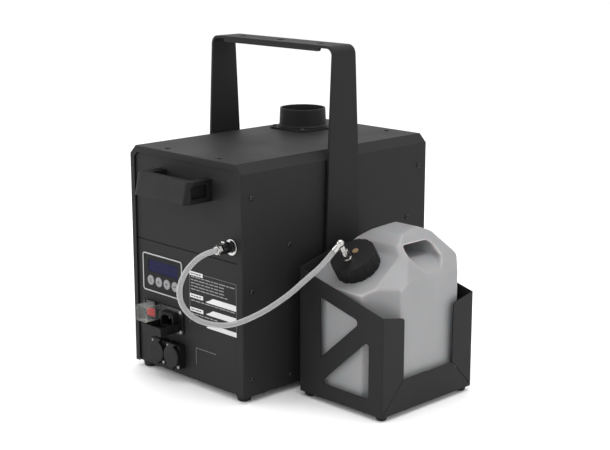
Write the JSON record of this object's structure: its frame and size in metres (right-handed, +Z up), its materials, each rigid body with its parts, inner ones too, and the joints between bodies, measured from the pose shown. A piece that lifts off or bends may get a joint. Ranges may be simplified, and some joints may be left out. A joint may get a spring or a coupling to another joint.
{
  "type": "fog machine",
  "caption": "Floor or truss fog machine: steel cabinet with hanging bracket, round duct spigot on top, rear control panel and a fluid canister in a side basket on a clear tube.",
  "frame": {"origin": "centre of the bounding box at floor level, fluid tube left out", "axes": "+Z up; -Y is the rear panel with display, inlet and handle; +X is the side with the fluid basket"},
  "size_m": [0.4554, 0.474, 0.5025],
  "materials": {
    "powder_black": "matte",
    "bracket_black": "matte",
    "black_screw": "satin",
    "bright_steel": "satin",
    "nickel": "polished",
    "brass_vent": "satin",
    "black_plastic": "matte",
    "gloss_black": "gloss",
    "red_plastic": "gloss",
    "grey_button": "matte",
    "bezel_grey": "satin",
    "overlay_dark": "satin",
    "screen_blue": "gloss",
    "clear_cover": "clear",
    "clear_tube": "clear",
    "bottle_white": "translucent",
    "rubber_black": "matte",
    "zinc": "satin",
    "cast_alu": "cast",
    "copper_pipe": "satin",
    "board_green": "satin",
    "nylon": "matte"
  },
  "bodies": {
    "cabinet": {"cover": "powder_black", "base_tray": "powder_black", "rear_upper_panel": "powder_black", "rear_lower_panel": "powder_black", "front_panel": "powder_black", "cover_screws": "black_screw", "cabinet_feet": "rubber_black", "pivot_bolts": "bright_steel", "pivot_washers": "bright_steel", "pivot_spacers": "nylon", "pivot_plates": "zinc", "duct_spigot": "powder_black", "outlet_guard": "powder_black", "carry_handle": "black_plastic", "handle_screws": "bright_steel", "display_bezel": "bezel_grey", "display_overlay": "overlay_dark", "lcd_screen": "screen_blue", "control_board": "board_green", "mains_plate": "gloss_black", "mains_inlet": "black_plastic", "contact_pins": "nickel", "plug_guard": "black_plastic", "rocker_frame": "gloss_black", "dmx_input": "black_plastic", "dmx_output": "black_plastic", "panel_screws": "bright_steel", "coupling_socket": "nickel", "coupling_plug": "gloss_black", "coupling_nut": "nickel", "fluid_tube": "clear_tube", "elbow_fitting": "nickel", "bottle_cap": "black_plastic", "vent_plug": "brass_vent", "dip_tube": "clear_tube", "dip_strainer": "brass_vent", "fluid_bottle": "bottle_white", "fluid_basket": "powder_black", "basket_feet": "rubber_black", "heater_block": "cast_alu", "heater_cradle": "zinc", "fog_nozzle": "copper_pipe", "mixing_duct": "zinc", "fan_frame": "black_plastic", "fan_stand": "zinc", "fluid_pump": "zinc", "feed_hose": "clear_tube", "pressure_pipe": "copper_pipe", "power_board": "board_green"},
    "bracket": {"hanging_bracket": "bracket_black"},
    "menu_button": {"menu_button": "grey_button"},
    "up_button": {"up_button": "grey_button"},
    "down_button": {"down_button": "grey_button"},
    "enter_button": {"enter_button": "grey_button"},
    "rocker": {"rocker_key": "red_plastic"},
    "splash_cover": {"switch_cover": "clear_cover"},
    "input_cap": {"dmx_input_cap": "black_plastic"},
    "output_cap": {"dmx_output_cap": "black_plastic"},
    "release_latch": {"coupling_latch": "nickel"},
    "rotor": {"fan_rotor": "black_plastic"}
  },
  "joints": [
    {"name": "bracket_tilt", "type": "hinge", "parent": "cabinet", "child": "bracket", "pos_m": [-0.0853, 0.0235, 0.182], "axis": [1, 0, 0], "range_deg": [-90, 85]},
    {"name": "menu_button_press", "type": "slide", "parent": "cabinet", "child": "menu_button", "axis": [0, 1, 0], "range_m": [0, 0.0012], "stiffness_N_per_m": 300},
    {"name": "up_button_press", "type": "slide", "parent": "cabinet", "child": "up_button", "axis": [0, 1, 0], "range_m": [0, 0.0012], "stiffness_N_per_m": 300},
    {"name": "down_button_press", "type": "slide", "parent": "cabinet", "child": "down_button", "axis": [0, 1, 0], "range_m": [0, 0.0012], "stiffness_N_per_m": 300},
    {"name": "enter_button_press", "type": "slide", "parent": "cabinet", "child": "enter_button", "axis": [0, 1, 0], "range_m": [0, 0.0012], "stiffness_N_per_m": 300},
    {"name": "mains_rocker", "type": "hinge", "parent": "cabinet", "child": "rocker", "pos_m": [-0.1673, -0.1705, 0.096], "axis": [0, 0, -1], "range_deg": [0, 18]},
    {"name": "splash_cover_hinge", "type": "hinge", "parent": "cabinet", "child": "splash_cover", "pos_m": [-0.1673, -0.1755, 0.1116], "axis": [-1, 0, 0], "range_deg": [0, 100]},
    {"name": "input_cap_hinge", "type": "hinge", "parent": "cabinet", "child": "input_cap", "pos_m": [-0.1438, -0.1837, 0.0605], "axis": [-1, 0, 0], "range_deg": [0, 100], "stiffness_Nm_per_rad": 0.01},
    {"name": "output_cap_hinge", "type": "hinge", "parent": "cabinet", "child": "output_cap", "pos_m": [-0.1088, -0.1837, 0.0605], "axis": [-1, 0, 0], "range_deg": [0, 100], "stiffness_Nm_per_rad": 0.01},
    {"name": "coupling_release", "type": "slide", "parent": "cabinet", "child": "release_latch", "axis": [0, 0, -1], "range_m": [0, 0.002], "stiffness_N_per_m": 400},
    {"name": "fan_spin", "type": "hinge", "parent": "cabinet", "child": "rotor", "pos_m": [-0.1423, 0.1255, 0.205], "axis": [0, 0, 1], "continuous": true}
  ]
}
